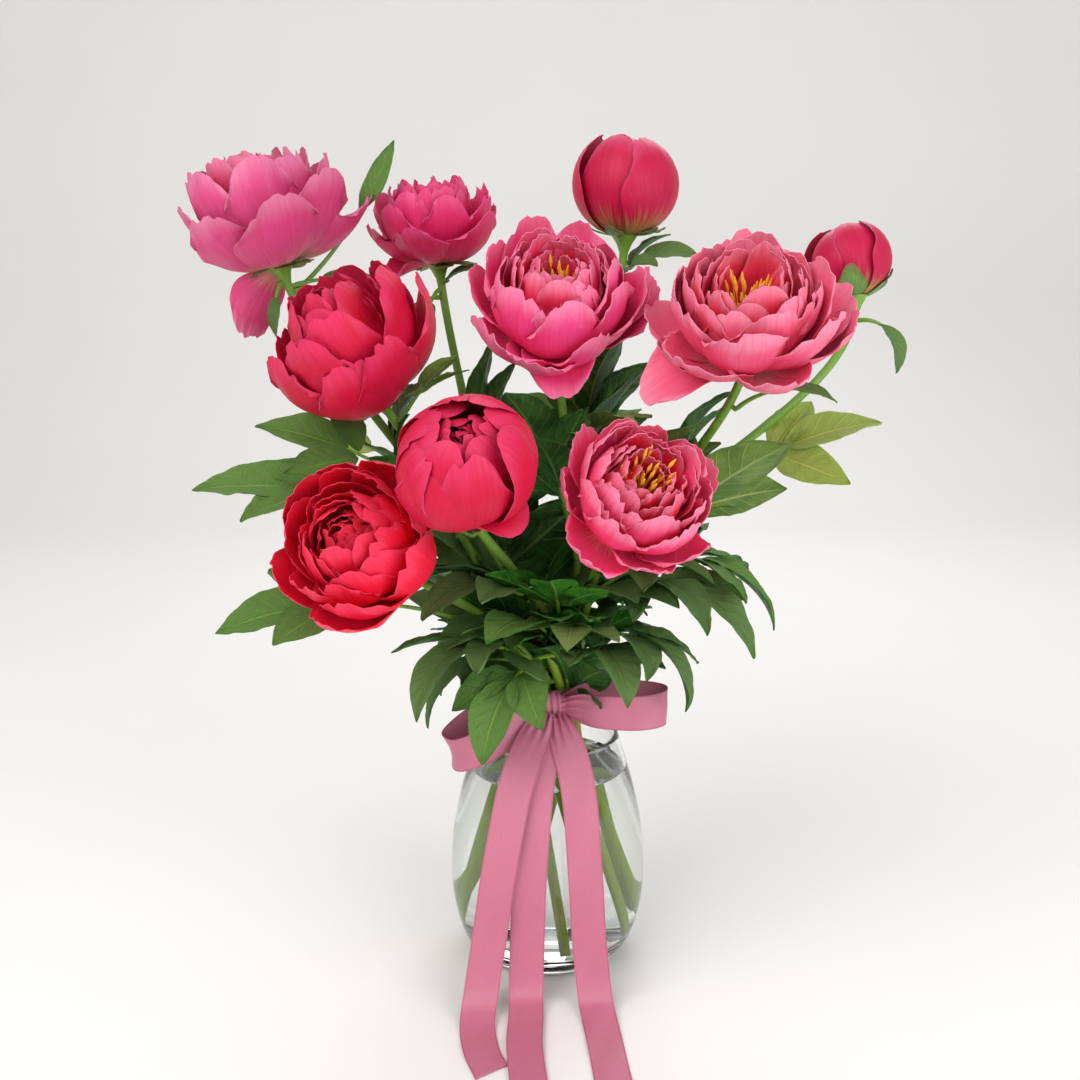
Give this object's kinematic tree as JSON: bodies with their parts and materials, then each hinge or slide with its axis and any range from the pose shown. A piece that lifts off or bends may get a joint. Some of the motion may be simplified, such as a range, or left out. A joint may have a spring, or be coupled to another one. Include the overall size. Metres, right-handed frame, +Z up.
{
  "type": "peonies in a glass vase",
  "caption": "Bunch of open and budding peonies with leaves, tied with a ribbon bow and standing in a round-bellied clear glass vase of water.",
  "frame": {"origin": "centre of the flat underside of the vase, on the surface that it stands on", "axes": "+Z up out of the vase, -Y towards the front, where the bow is and most blooms face, +X to the right seen from the front"},
  "size_m": [0.5296, 0.387, 0.6153],
  "materials": {
    "glass": "polished",
    "water": "polished",
    "stem": "satin",
    "leaf": "satin",
    "petal_pink": "matte",
    "petal_coral": "matte",
    "stamen": "matte",
    "satin": "satin"
  },
  "bodies": {
    "root": {"bow_knot": "satin", "bow_loop_left": "satin", "bow_loop_right": "satin", "glass_vase": "glass", "guard_petal_back_left": "petal_pink", "guard_petal_centre_open": "petal_pink", "guard_petal_far_left": "petal_pink", "guard_petal_front_cup": "petal_coral", "guard_petal_right_open": "petal_pink", "leaf_back_high": "leaf", "leaf_back_left_leaf": "leaf", "leaf_back_left_low": "leaf", "leaf_back_low": "leaf", "leaf_back_right_low": "leaf", "leaf_far_left_top": "leaf", "leaf_front_hang": "leaf", "leaf_front_left_hang": "leaf", "leaf_front_mound": "leaf", "leaf_front_right_hang": "leaf", "leaf_left_broad": "leaf", "leaf_left_low": "leaf", "leaf_left_upright": "leaf", "leaf_left_yellow": "leaf", "leaf_middle_front": "leaf", "leaf_middle_upright": "leaf", "leaf_right_bud_leaf": "leaf", "leaf_right_far_hang": "leaf", "leaf_right_hang": "leaf", "leaf_right_pale": "leaf", "leaf_right_yellow": "leaf", "leaf_under_centre": "leaf", "petals_back_left": "petal_pink", "petals_centre_open": "petal_pink", "petals_far_left": "petal_pink", "petals_front_cup": "petal_coral", "petals_left_cup": "petal_coral", "petals_low_left": "petal_coral", "petals_low_right": "petal_pink", "petals_right_bud": "petal_pink", "petals_right_open": "petal_pink", "petals_top_bud": "petal_pink", "ribbon_band": "satin", "ribbon_tail_left": "satin", "ribbon_tail_middle": "satin", "ribbon_tail_right": "satin", "stamens_centre_open": "stamen", "stamens_low_left": "stamen", "stamens_low_right": "stamen", "stamens_right_open": "stamen", "stem_back_left": "stem", "stem_centre_open": "stem", "stem_far_left": "stem", "stem_front_cup": "stem", "stem_left_cup": "stem", "stem_low_left": "stem", "stem_low_right": "stem", "stem_right_bud": "stem", "stem_right_open": "stem", "stem_top_bud": "stem", "water": "water"}
  },
  "joints": []
}
